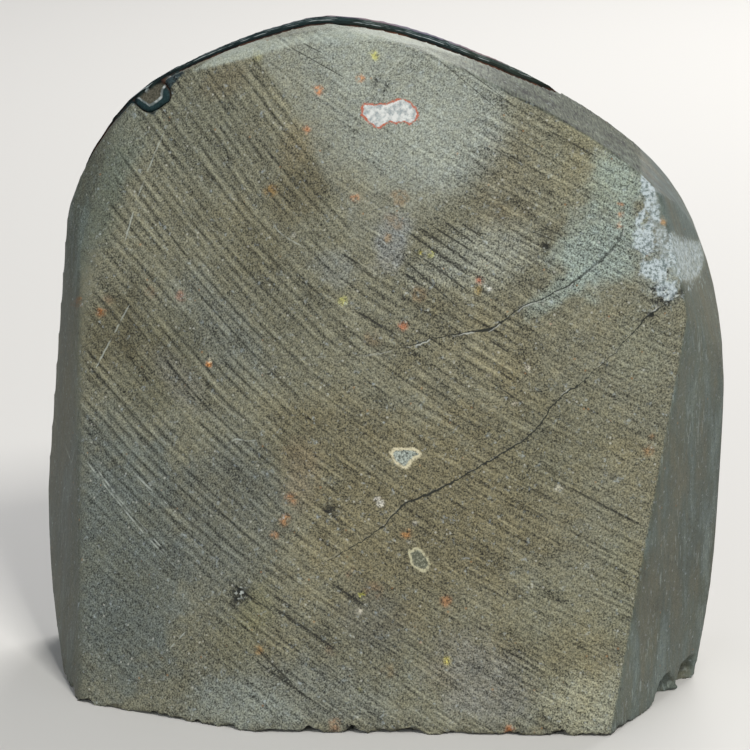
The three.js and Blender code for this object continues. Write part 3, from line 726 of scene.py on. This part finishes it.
def basalt_material():
    r = Recipe("sawn_basalt")
    place = r.objects()
    tone = r.attribute("tone", "Color")
    relief = r.attribute("relief")
    sawn = r.attribute("sawn")
    chalk = r.attribute("chalk")

    drawn_out = r.stretched(place, (1, 0.12, 0.35))
    grain = r.noise(place, 3300, 1.5, 0.6)
    grazed = r.attribute("grazed")
    not_grazed = r.math("SUBTRACT", 1.0, grazed)
    grain = r.math("ADD", r.math("MULTIPLY", grain, not_grazed),
                   r.math("MULTIPLY", r.noise(drawn_out, 3000, 1.5, 0.6), grazed))
    coarse_grain = r.math("ADD", r.math("MULTIPLY", r.noise(place, 700, 2.0, 0.6), not_grazed),
                          r.math("MULTIPLY", r.noise(drawn_out, 1300, 2.0, 0.7), grazed))
    cloud = r.noise(place, 95, 4.0, 0.6)
    stain = r.noise(place, 38, 3.0, 0.6)

    fleck = r.noise(place, 1900, 1.0, 0.5)
    streaks, groove_shadows, halves, ridge_highlights = [], [], [], []
    for name, wide, groove in (("saw_left", 2.6, 0.2), ("saw_coarse", 2.6, 0.17), ("saw_fine", 1.5, 0.26)):
        part = r.parts(r.attribute(name, "Vector"))
        flat = r.node("CombineXYZ", {}, {"X": r.math("MULTIPLY", part[0], wide), "Y": part[1]}).outputs[0]
        lines = r.between(r.noise(flat, 1.0, 1.5, 0.6), 0.3, 0.7)
        streaks.append(r.math("MULTIPLY", r.math("SUBTRACT", lines, 0.5), part[2]))
        near = r.math("MULTIPLY_ADD", r.math("SUBTRACT", fleck, 0.5), 0.12, r.math("PINGPONG", part[0], 0.5))
        groove_shadows.append(r.math("MULTIPLY", r.between(near, 0.02, groove, 1.0, 0.0), part[2]))
        half = r.math("PINGPONG", r.math("MULTIPLY_ADD", lines, 0.12, part[0]), 0.25)
        between_ribs = r.math("MULTIPLY", r.between(half, 0.01, 0.11, 1.0, 0.0), r.between(lines, 0.3, 0.8))
        halves.append(r.math("MULTIPLY", between_ribs, part[2]))
        ridge_highlights.append(r.math("MULTIPLY", r.between(near, 0.3, 0.45), r.math("MULTIPLY", part[2], lines)))
    streak = r.math("ADD", r.math("ADD", streaks[0], streaks[1]), streaks[2])
    groove = r.math("MAXIMUM", r.math("MAXIMUM", groove_shadows[0], groove_shadows[1]), r.math("MULTIPLY", groove_shadows[2], 0.7))

    light = r.math("MULTIPLY_ADD", r.math("SUBTRACT", r.between(grain, 0.3, 0.7), 0.5),
                   r.math("MULTIPLY_ADD", sawn, 0.9, 0.5), 0.93)
    light = r.math("MULTIPLY_ADD", r.math("SUBTRACT", coarse_grain, 0.5),
                   r.math("MULTIPLY_ADD", grazed, 1.1, 0.3), light)
    light = r.math("MULTIPLY_ADD", streak, 0.85, light)
    # Painted shade and painted light: the colour darkens where the relief sinks, partly rock powder in the
    # hollows, and lightens where it rises.
    light = r.math("MULTIPLY_ADD", relief, 2.0, light)
    light = r.math("MULTIPLY_ADD", r.math("SUBTRACT", cloud, 0.5), 0.3, light)
    # Painted highlight along the crests of the saw ribs.
    light = r.math("MULTIPLY_ADD", ridge_highlights[0], 0.5, r.math("MULTIPLY_ADD", ridge_highlights[1], 0.4, light))
    light = r.math("MULTIPLY_ADD", ridge_highlights[2], 0.35, light)
    light = r.math("MULTIPLY_ADD", r.math("MAXIMUM", halves[0], halves[1]), -0.28, light)
    scratches = r.math("SUBTRACT", r.noise(r.stretched(place, (1, 1, 0.12)), 900, 2, 0.6), 0.5)
    light = r.math("MULTIPLY_ADD", scratches, r.math("MULTIPLY_ADD", sawn, -0.4, 0.4), light)
    # Painted shadow: the colour darkens in the saw grooves.
    light = r.math("MULTIPLY", light, r.math("MULTIPLY_ADD", groove, -0.52, 1.0))
    light = r.math("MAXIMUM", light, 0.08)

    tone = r.mix(r.between(r.noise(place, 800, 2, 0.6), 0.36, 0.56), tone, r.attribute("stained", "Color"))
    brown = r.between(stain, 0.5, 0.72, 0.0, 0.45, smooth=True)
    colour = r.mix(brown, tone, r.mix(1.0, tone, (1.08, 0.93, 0.66, 1), "MULTIPLY"))
    unsawn = r.attribute("unsawn")
    leaning = r.node("Mapping", {}, {"Vector": place, "Rotation": (0, math.radians(14), 0)}).outputs[0]
    upright = r.noise(r.stretched(leaning, (1, 1, 0.16)), 150, 4, 0.65)
    dull = r.math("MULTIPLY", r.between(upright, 0.48, 0.62, 0.0, 0.6), unsawn)
    colour = r.mix(dull, colour, rgb((100, 97, 80)))
    bluish = r.math("MULTIPLY", r.between(upright, 0.36, 0.48, 0.55, 0.0), unsawn)
    colour = r.mix(bluish, colour, rgb((116, 128, 124)))
    scored = r.noise(r.stretched(leaning, (1, 1, 0.05)), 1400, 1, 0.5)
    scored = r.math("MULTIPLY", r.between(scored, 0.6, 0.68), r.between(r.noise(place, 130, 2), 0.46, 0.6))
    colour = r.mix(r.math("MULTIPLY", r.math("MULTIPLY", scored, unsawn), 0.45), colour, rgb((150, 160, 156)))
    blue = r.between(r.noise(r.stretched(place, (1, 1, 0.6)), 60, 3, 0.6), 0.5, 0.8, 0.0, 0.35, smooth=True)
    colour = r.mix(blue, colour, r.mix(1.0, colour, (0.95, 1.03, 1.14, 1), "MULTIPLY"))
    warm = r.between(r.noise(place, 850, 1, 0.5), 0.3, 0.7)
    cool_tone = r.mix(1.0, colour, (0.93, 0.99, 1.12, 1), "MULTIPLY")
    warm_tone = r.mix(1.0, colour, (1.1, 1.02, 0.8, 1), "MULTIPLY")
    colour = r.mix(0.22, colour, r.mix(warm, cool_tone, warm_tone))
    colour = r.mix(1.0, colour, r.grey(light), "MULTIPLY")

    spots = r.node("TexVoronoi", {"feature": "F1"}, {"Vector": place, "Scale": 1500.0})
    pick = r.parts(spots.outputs["Color"])
    small = r.between(spots.outputs["Distance"], 0.2, 0.42, 1.0, 0.0)
    white = r.math("MULTIPLY", r.math("MULTIPLY", small, r.math("GREATER_THAN", pick[0], 0.975)), sawn)
    dark = r.math("MULTIPLY", small, r.math("LESS_THAN", pick[1], 0.05))
    rust = r.math("MULTIPLY", small, r.math("LESS_THAN", pick[2], 0.006))
    colour = r.mix(r.math("MULTIPLY", white, 0.5), colour, rgb((190, 190, 180)))
    colour = r.mix(r.math("MULTIPLY", dark, 0.6), colour, rgb((46, 46, 40)))
    colour = r.mix(r.math("MULTIPLY", rust, 0.5), colour, rgb((150, 108, 66)))

    mottle = r.noise(place, 1700, 2, 0.7)
    chalky = r.mix(r.between(mottle, 0.34, 0.6, smooth=True), rgb((98, 112, 112)), rgb((190, 201, 206)))
    ragged = r.math("MULTIPLY_ADD", r.math("SUBTRACT", r.noise(place, 1000, 2, 0.6), 0.5), 1.3, chalk)
    colour = r.mix(r.math("MULTIPLY", r.between(ragged, 0.15, 0.55), 0.8), colour, chalky)
    pits = r.attribute("pits")
    specks = r.noise(place, 1500, 1.0, 0.5)
    colour = r.mix(r.math("MULTIPLY", pits, r.between(specks, 0.46, 0.54)), colour, rgb((30, 32, 30)))
    pale_specks = r.math("MULTIPLY", pits, r.between(specks, 0.34, 0.42, 0.8, 0.0))
    colour = r.mix(pale_specks, colour, rgb((190, 196, 190)))

    wobble = r.math("MULTIPLY", r.math("SUBTRACT", r.noise(place, 800, 3, 0.8), 0.5), 7.0)
    fills = r.parts(r.attribute("amygdales", "Vector"))
    crystals = r.between(r.noise(place, 2400, 2, 0.7), 0.38, 0.62)
    clear = r.between(r.noise(place, 900, 3, 0.7), 0.36, 0.56)
    quartz = r.mix(clear, rgb((142, 156, 158)), rgb((208, 213, 210)))
    dark_quartz = r.mix(crystals, rgb((56, 66, 66)), rgb((168, 178, 170)))
    olive = r.mix(r.math("MULTIPLY", crystals, crystals), rgb((68, 72, 60)), rgb((140, 142, 124)))
    for fill, wide, rim, body in (
        (fills[0], 0.8, (176, 88, 62), quartz),
        (fills[1], 1.6, (198, 190, 160), dark_quartz),
        (fills[2], 1.4, (180, 176, 146), olive),
    ):
        depth = r.math("ADD", fill, wobble)
        edge = r.math("MULTIPLY", r.between(depth, -1.4, -0.2, 0.0, 0.95),
                      r.between(fleck, 0.3, 0.5, 0.35, 1.0))
        colour = r.mix(edge, colour, rgb(rim))
        colour = r.mix(r.between(depth, wide - 0.3, wide + 0.8, 0.0, 0.92), colour, body)
    cuts = r.parts(r.attribute("deep_cuts", "Vector"))
    gap = r.math("DIVIDE", r.math("ABSOLUTE", cuts[0]), r.math("MAXIMUM", cuts[1], 0.001))
    broken = r.between(fleck, 0.36, 0.5, 0.45, 1.0)
    # Painted shadow: a dark line along the middle of each deep saw cut.
    colour = r.mix(r.math("MULTIPLY", r.between(gap, 0.5, 1.1, 0.8, 0.0), broken), colour, rgb((34, 34, 29)))

    for number in range(len(VEINS)):
        vein = r.parts(r.attribute(f"vein_{number}", "Vector"))
        line = r.math("MULTIPLY", r.math("LESS_THAN", r.math("ABSOLUTE", vein[0]), vein[1]),
                      r.between(r.noise(place, 500, 1), 0.35, 0.55))
        colour = r.mix(r.math("MULTIPLY", line, 0.5), colour, rgb((178, 184, 176)))
    jagged = r.math("MULTIPLY", r.math("SUBTRACT", r.noise(place, 1100, 2, 0.6), 0.5), 3.6)
    for name, soft_end, chalk_side, chalk_end in (
        ("crack_upper", 0.15, -1.0, 1.0),
        ("crack_lower", 0.0, 1.0, 0.3),
    ):
        crack = r.parts(r.attribute(name, "Vector"))
        across = r.math("ADD", crack[0], jagged)
        gap = r.math("DIVIDE", r.math("ABSOLUTE", across), r.math("MAXIMUM", crack[1], 0.001))
        beside = r.math("MULTIPLY", across, chalk_side)
        fill = r.math("MULTIPLY", r.between(beside, 0.4, 1.0), r.between(beside, 1.4, 2.6, 1.0, 0.0))
        fill = r.math("MULTIPLY", fill, r.between(crack[2], chalk_end - 0.05, chalk_end, 1.0, 0.15))
        fill = r.math("MULTIPLY", fill, r.between(r.noise(place, 420, 1), 0.46, 0.6))
        fill = r.math("MULTIPLY", fill, r.between(crack[1], 0.1, 0.4))
        colour = r.mix(r.math("MULTIPLY", fill, 0.6), colour, rgb((190, 194, 190)))
        strength = r.between(crack[2], soft_end - 0.05, soft_end + 0.04, 0.5, 0.95)
        strength = r.math("MULTIPLY", r.between(gap, 0.4, 0.9, 1.0, 0.0), strength)
        colour = r.mix(strength, colour, rgb((28, 31, 27)))

    roughness = r.math("MULTIPLY_ADD", sawn, 0.2, 0.62)
    height = r.math("MULTIPLY", grain, r.math("MULTIPLY_ADD", sawn, 0.8, 0.15))
    height = r.math("MULTIPLY_ADD", groove, -1.2, height)
    bump = r.node("Bump", {}, {"Strength": 0.5, "Distance": 0.00012, "Height": height})
    shader = r.node("BsdfPrincipled", {}, {
        "Base Color": colour, "Roughness": roughness, "Normal": bump.outputs[0]})
    shader.inputs["IOR"].default_value = 1.5
    shader.inputs["Specular IOR Level"].default_value = 0.35
    return r.finish(shader.outputs[0])


def agate_material():
    r = Recipe("banded_agate")
    place = r.objects()
    depth = r.math("ADD", r.attribute("band_depth"),
                   r.math("MULTIPLY", r.math("SUBTRACT", r.noise(place, 220, 3, 0.6), 0.5), 0.9))
    ramp = r.node("ValToRGB")
    ramp.color_ramp.interpolation = "LINEAR"
    stops = ramp.color_ramp.elements
    while len(stops) < len(AGATE_BANDS):
        stops.new(0.5)
    for stop, (at, colour) in zip(stops, AGATE_BANDS):
        stop.position = at
        stop.color = rgb(colour)
    r.feed(ramp.inputs[0], r.math("DIVIDE", depth, BAND_DEPTH))
    clouds = r.between(r.noise(place, 420, 4, 0.65), 0.3, 0.7, 0.65, 1.3)
    colour = r.mix(1.0, ramp.outputs[0], r.grey(clouds), "MULTIPLY")
    skin = r.between(r.attribute("sawn_front"), 0.0, 1.0, 1.0, 0.0)
    earthy = r.between(r.noise(place, 60, 2, 0.6), 0.42, 0.6, 0.0, 0.8, smooth=True)
    colour = r.mix(earthy, colour, r.mix(1.0, colour, (1.7, 1.35, 1.05, 1), "MULTIPLY"))
    colour = r.mix(skin, colour, r.mix(1.0, colour, (0.8, 0.82, 0.82, 1), "MULTIPLY"))
    dashes = r.between(r.noise(place, 260, 3, 0.65), 0.44, 0.58)
    for at, wide, strength in ((3.4, 0.55, 0.9), (5.3, 0.35, 0.6), (6.9, 0.4, 0.5)):
        line = r.between(r.math("ABSOLUTE", r.math("SUBTRACT", depth, at)), 0.4 * wide, wide, 1.0, 0.0)
        dashed = r.math("MULTIPLY", r.math("MULTIPLY", line, dashes), strength)
        colour = r.mix(dashed, colour, rgb((150, 160, 160)))

    pocket = r.parts(r.attribute("pocket", "Vector"))
    zigzag = r.math("MULTIPLY", r.math("SUBTRACT", r.noise(place, 500, 2, 0.6), 0.5), 4.0)
    inside = r.math("ADD", pocket[0], zigzag)
    grey = r.grey(r.between(r.noise(place, 3300, 1.5, 0.6), 0.3, 0.7, 0.5, 1.4))
    broken = r.between(r.noise(place, 700, 1), 0.38, 0.5, 0.3)
    pale_line = r.math("MULTIPLY", r.between(inside, -0.8, 0.0), broken)
    filled = r.mix(pale_line, r.mix(0.6, rgb((38, 54, 56)), grey, "MULTIPLY"), rgb((162, 168, 166)))
    filled = r.mix(r.between(inside, 1.2, 2.0), filled, r.mix(1.0, rgb((82, 80, 70)), grey, "MULTIPLY"))
    colour = r.mix(pocket[1], colour, filled)

    bump = r.node("Bump", {}, {"Strength": 0.4, "Distance": 0.0001, "Height": r.noise(place, 900, 3, 0.6)})
    cut_face = r.node("BsdfPrincipled", {}, {"Base Color": colour, "Normal": bump.outputs[0]})
    cut_face.inputs["Roughness"].default_value = 0.25
    cut_face.inputs["IOR"].default_value = 1.54
    outside = r.node("BsdfPrincipled", {}, {"Base Color": colour, "Normal": bump.outputs[0]})
    outside.inputs["Roughness"].default_value = 0.85
    outside.inputs["Specular IOR Level"].default_value = 0.0
    both = r.node("MixShader")
    r.feed(both.inputs[0], skin)
    r.feed(both.inputs[1], cut_face.outputs[0])
    r.feed(both.inputs[2], outside.outputs[0])
    return r.finish(both.outputs[0])


def amethyst_material():
    r = Recipe("amethyst_crystal")
    place = r.objects()
    veil = r.between(r.noise(place, 160, 3, 0.6), 0.42, 0.72, 0.0, 0.35)
    colour = r.mix(veil, (0.86, 0.78, 0.98, 1), (0.95, 0.92, 1.0, 1))
    shader = r.node("BsdfPrincipled", {}, {"Base Color": colour})
    shader.inputs["Transmission Weight"].default_value = 1.0
    shader.inputs["Roughness"].default_value = 0.04
    shader.inputs["IOR"].default_value = 1.544
    volume = r.node("VolumeAbsorption")
    volume.inputs["Color"].default_value = (0.62, 0.32, 0.82, 1)
    volume.inputs["Density"].default_value = 68.0
    return r.finish(shader.outputs[0], volume.outputs[0])


def make_agate(basalt_tree):
    """The agate rind. Its bands follow the distance from the basalt, its pocket lies on the left shoulder."""
    piece = copy_node("agate_rind", "agate_band")
    apply_modifier(piece, "REMESH", mode="VOXEL", voxel_size=AGATE_VOXEL, adaptivity=0)
    mesh = piece.data
    points, normals = read_points(mesh), read_normals(mesh)
    depth = np.array([basalt_tree.find_nearest(point.tolist())[3] for point in points]) / MM
    u, v = picture_place(points)
    pocket = (u < 180) & (v < 120) & (normals[:, 1] < 0.1)
    swell = 0.12 + 0.1 * (lattice_noise(points[:, 0] / MM / 2.3, points[:, 2] / MM / 2.3, 5) - 0.5)
    swell = np.where(pocket & (normals[:, 1] > -0.5), 0.28, swell)
    front = smooth_step(normals[:, 1], 0.5, 0.8)
    write_points(mesh, points + normals * (swell * (1 - front) * MM)[:, None])
    keep_value(mesh, "band_depth", depth)
    keep_value(mesh, "sawn_front", front)
    face = pocket * smooth_step(-normals[:, 1], 0.35, 0.6)
    keep_value(mesh, "pocket", inside_by(u, v, POCKET_LINE), face)
    thin_out(piece, ~pocket, 0.5)
    shade_smooth(piece.data)
    return piece


def tree_of(node):
    """The faces of a node, ready for finding the nearest place on them."""
    mesh = node.data
    corners = [tuple(vertex.co) for vertex in mesh.vertices]
    return BVHTree.FromPolygons(corners, [tuple(face.vertices) for face in mesh.polygons])


def make_studio():
    """Floor, air, lamps and camera."""
    bpy.ops.mesh.primitive_plane_add(size=6.0)
    floor = bpy.context.object
    floor.name = "floor"
    r = Recipe("pale_floor")
    shader = r.node("BsdfPrincipled", {}, {"Base Color": (0.62, 0.61, 0.59, 1)})
    shader.inputs["Roughness"].default_value = 0.85
    floor.data.materials.append(r.finish(shader.outputs[0]))

    world = bpy.data.worlds.new("studio_air")
    world.use_nodes = True
    world.node_tree.nodes["Background"].inputs["Color"].default_value = (0.86, 0.9, 0.95, 1)
    world.node_tree.nodes["Background"].inputs["Strength"].default_value = 0.3
    bpy.context.scene.world = world

    for name, place, aim, size, power, colour in (
        ("key_light", (0.3, -0.75, 0.95), (0, 0, 0.05), 0.25, 11.0, (1.0, 0.98, 0.94)),
        ("fill_light", (-0.5, -0.9, 0.4), (0, 0, 0.06), 0.6, 2.5, (0.92, 0.97, 1.0)),
        ("front_light", (0.35, 0.8, 0.7), (0, 0, 0.06), 0.6, 9.0, (1.0, 0.98, 0.96)),
    ):
        lamp = bpy.data.lights.new(name, "AREA")
        lamp.size = size
        lamp.energy = power
        lamp.color = colour
        holder = bpy.data.objects.new(name, lamp)
        bpy.context.scene.collection.objects.link(holder)
        holder.location = place
        aim_x, aim_y, aim_z = (a - b for a, b in zip(aim, place))
        holder.rotation_euler = (math.atan2(math.hypot(aim_x, aim_y), -aim_z), 0,
                                 math.atan2(aim_y, aim_x) - math.pi / 2)

    lens = bpy.data.cameras.new("camera")
    lens.lens = CAMERA_LENS
    lens.sensor_width = CAMERA_SENSOR
    lens.clip_start = 0.01
    lens.clip_end = 20
    camera = bpy.data.objects.new("camera", lens)
    camera.location = CAMERA_PLACE
    camera.rotation_euler = (CAMERA_TILT, 0, 0)
    bpy.context.scene.collection.objects.link(camera)
    bpy.context.scene.camera = camera
    bpy.context.scene.view_settings.view_transform = "Standard"


make_studio()

basalt_tree = tree_of(frame["nodes"]["basalt_matrix"])
basalt = make_basalt()
basalt.data.materials.append(basalt_material())
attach(basalt, "root")
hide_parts("basalt_matrix")

agate = make_agate(basalt_tree)
agate.data.materials.append(agate_material())
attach(agate, "root")
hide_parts("agate_rind")

crystals = frame["nodes"]["amethyst_crystals"]
crystals.data.materials.clear()
crystals.data.materials.append(amethyst_material())
